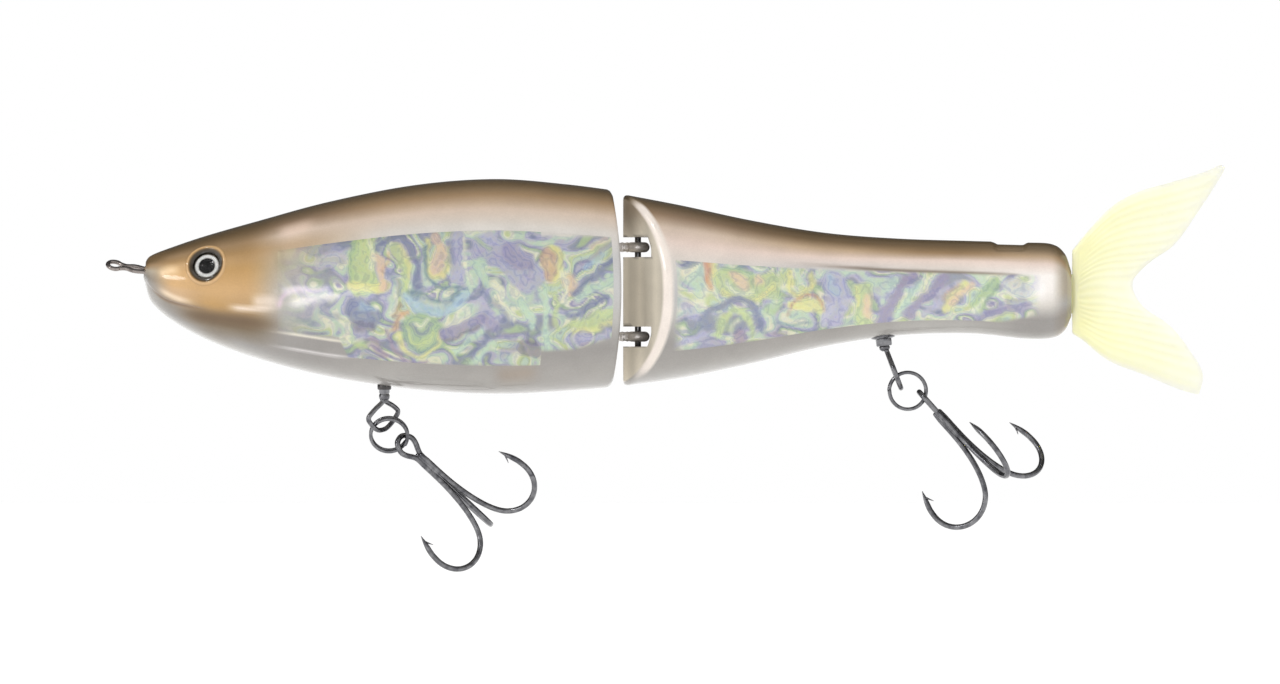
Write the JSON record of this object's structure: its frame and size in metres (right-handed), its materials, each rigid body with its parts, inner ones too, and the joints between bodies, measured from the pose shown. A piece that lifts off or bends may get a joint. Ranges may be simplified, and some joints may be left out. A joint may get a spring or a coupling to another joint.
{
  "type": "swimbait",
  "caption": "Jointed hard swimbait with a hinged tail section, soft tail fin, wire line tie in the nose, and treble hooks on split rings under swivelling hangers",
  "frame": {"origin": "centre of the line tie's eye, in front of the nose, on the lure's middle plane", "axes": "+X from the nose to the tail along the body, +Z towards the back, -Y towards the lure's left side; the lure hangs level as it swims"},
  "size_m": [0.1852, 0.0343, 0.0675],
  "materials": {
    "shell": "gloss",
    "foil": "pearl gloss",
    "iris": "bright",
    "eye_dome": "clear",
    "bright_wire": "polished",
    "dark_steel": "black nickel",
    "sleeve": "satin",
    "ballast": "plain",
    "fin": "translucent"
  },
  "bodies": {
    "front_section": {"front_shell_left": "shell", "front_shell_right": "shell", "front_foil_left": "foil", "front_foil_right": "foil", "eye_iris_left": "iris", "eye_iris_right": "iris", "eye_dome_left": "eye_dome", "eye_dome_right": "eye_dome", "line_tie": "bright_wire", "hinge_lug_upper": "bright_wire", "hinge_lug_lower": "bright_wire", "front_swivel_sleeve": "sleeve", "belly_ballast": "ballast", "head_ballast": "ballast"},
    "tail_section": {"rear_shell_left": "shell", "rear_shell_right": "shell", "rear_foil_left": "foil", "rear_foil_right": "foil", "hinge_pin": "dark_steel", "rear_swivel_sleeve": "sleeve", "rear_ballast": "ballast"},
    "tail_fin": {"tail_fin": "fin"},
    "front_hanger": {"front_hanger": "dark_steel"},
    "front_ring": {"front_split_ring": "dark_steel"},
    "front_hook": {"front_treble_hook": "dark_steel"},
    "rear_hanger": {"rear_hanger": "dark_steel"},
    "rear_ring": {"rear_split_ring": "dark_steel"},
    "rear_hook": {"rear_treble_hook": "dark_steel"}
  },
  "joints": [
    {"name": "tail_swing", "type": "hinge", "parent": "front_section", "child": "tail_section", "pos_m": [0.08671, 0, 0], "axis": [0, 0, 1], "range_deg": [-34, 34]},
    {"name": "fin_pull", "type": "slide", "parent": "tail_section", "child": "tail_fin", "axis": [1, 0, 0], "range_m": [0, 0.008]},
    {"name": "front_hanger_swivel", "type": "hinge", "parent": "front_section", "child": "front_hanger", "pos_m": [0.04468, 0, 0], "axis": [0, 0, 1], "continuous": true},
    {"name": "front_ring_swing", "type": "hinge", "parent": "front_hanger", "child": "front_ring", "pos_m": [0.0443, 0.00148, -0.02728], "axis": [0, 0.9063, 0.4226], "range_deg": [-10, 45]},
    {"name": "front_hook_swing", "type": "hinge", "parent": "front_ring", "child": "front_hook", "pos_m": [0.04804, 0.00255, -0.02956], "axis": [0.5299, -0.3584, 0.7686], "range_deg": [-60, 50]},
    {"name": "rear_hanger_swivel", "type": "hinge", "parent": "tail_section", "child": "rear_hanger", "pos_m": [0.12751, 0, -0.0131], "axis": [-0.1219, 0, 0.9925], "continuous": true},
    {"name": "rear_ring_swing", "type": "hinge", "parent": "rear_hanger", "child": "rear_ring", "pos_m": [0.12955, 0, -0.01839], "axis": [-0.0698, 0.9976, 0], "range_deg": [-15, 60]},
    {"name": "rear_hook_swing", "type": "hinge", "parent": "rear_ring", "child": "rear_hook", "pos_m": [0.13422, 0.00033, -0.02198], "axis": [0.3898, 0.0273, 0.9205], "range_deg": [-60, 60]}
  ]
}
